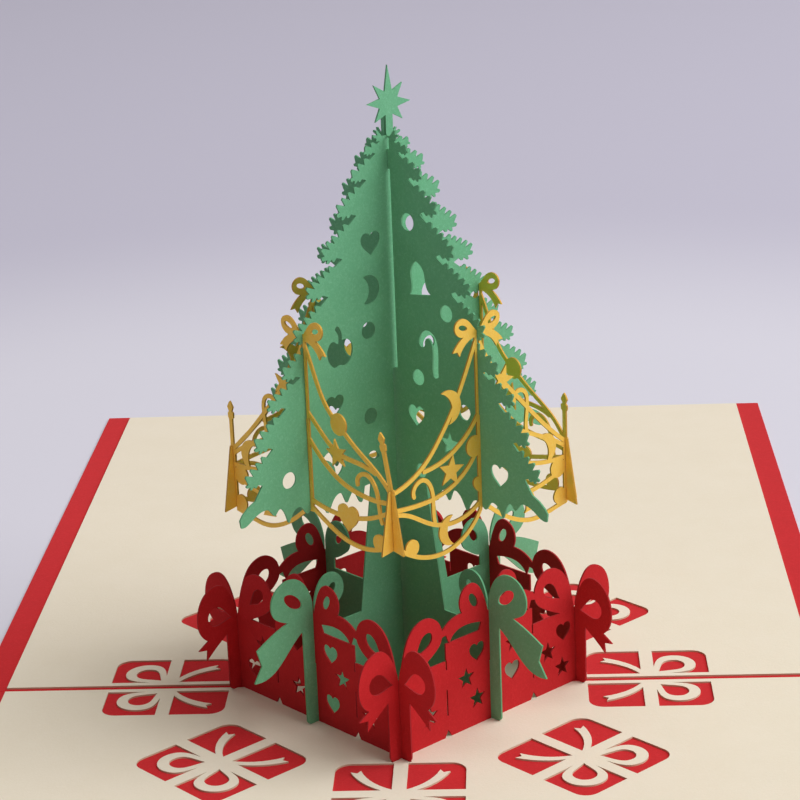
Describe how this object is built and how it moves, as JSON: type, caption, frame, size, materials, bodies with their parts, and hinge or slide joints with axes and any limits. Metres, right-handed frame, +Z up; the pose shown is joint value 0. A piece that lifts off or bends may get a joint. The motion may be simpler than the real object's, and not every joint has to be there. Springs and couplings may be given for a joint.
{
  "type": "pop up card",
  "caption": "Folded greeting card lying open, with a slotted paper tree, garlands and a diamond box of presents standing on its spine",
  "frame": {"origin": "middle of the card's underside, halfway along the spine", "axes": "+Z up from the open card, X along the spine, -Y towards the front leaf, +Y towards the back leaf"},
  "size_m": [0.15, 0.3, 0.1079],
  "materials": {
    "red_card": "matt dyed card",
    "cream_card": "matt dyed card",
    "green_card": "matt dyed card",
    "gold_card": "matt dyed card"
  },
  "bodies": {
    "root": {"cover": "red_card", "liner_front": "cream_card", "liner_back": "cream_card", "tree_sheet_with_star": "green_card", "tree_sheet_plain": "green_card", "wall_front_left": "red_card", "wall_front_right": "red_card", "wall_back_right": "red_card", "wall_back_left": "red_card", "garland_front_left": "gold_card", "garland_front_right": "gold_card", "garland_back_right": "gold_card", "garland_back_left": "gold_card"}
  },
  "joints": []
}
